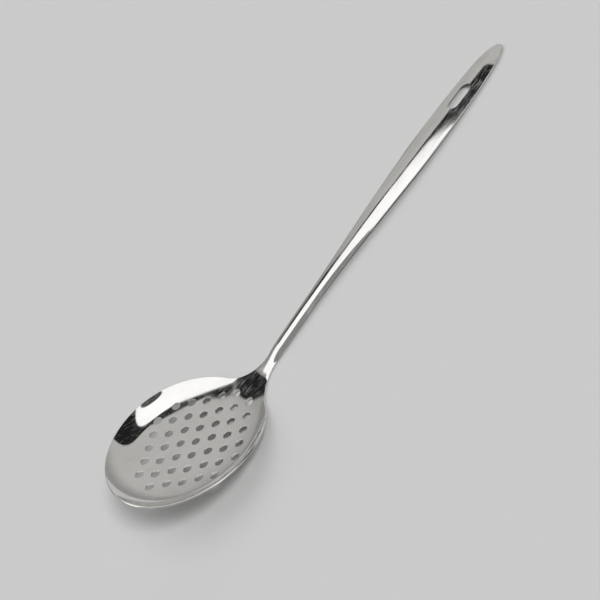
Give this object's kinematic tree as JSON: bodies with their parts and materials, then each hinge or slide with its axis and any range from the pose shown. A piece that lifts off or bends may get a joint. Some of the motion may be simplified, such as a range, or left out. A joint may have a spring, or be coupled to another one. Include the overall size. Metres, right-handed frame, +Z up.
{
  "type": "skimmer",
  "caption": "Long-handled polished steel skimmer: a shallow round bowl pierced with drain holes, on a creased strap handle with a hanging slot at its rounded tip.",
  "frame": {"origin": "middle of the bounding box's bottom face, on the level surface that the tool lies on", "axes": "+X runs along the tool from the bowl to the handle's tip, +Y is across it and +Z is up; the open side of the bowl faces up and towards the handle"},
  "size_m": [0.3346, 0.1012, 0.0352],
  "materials": {
    "steel": "bright polished stainless sheet"
  },
  "bodies": {
    "root": {"bowl": "steel", "handle": "steel"}
  },
  "joints": []
}
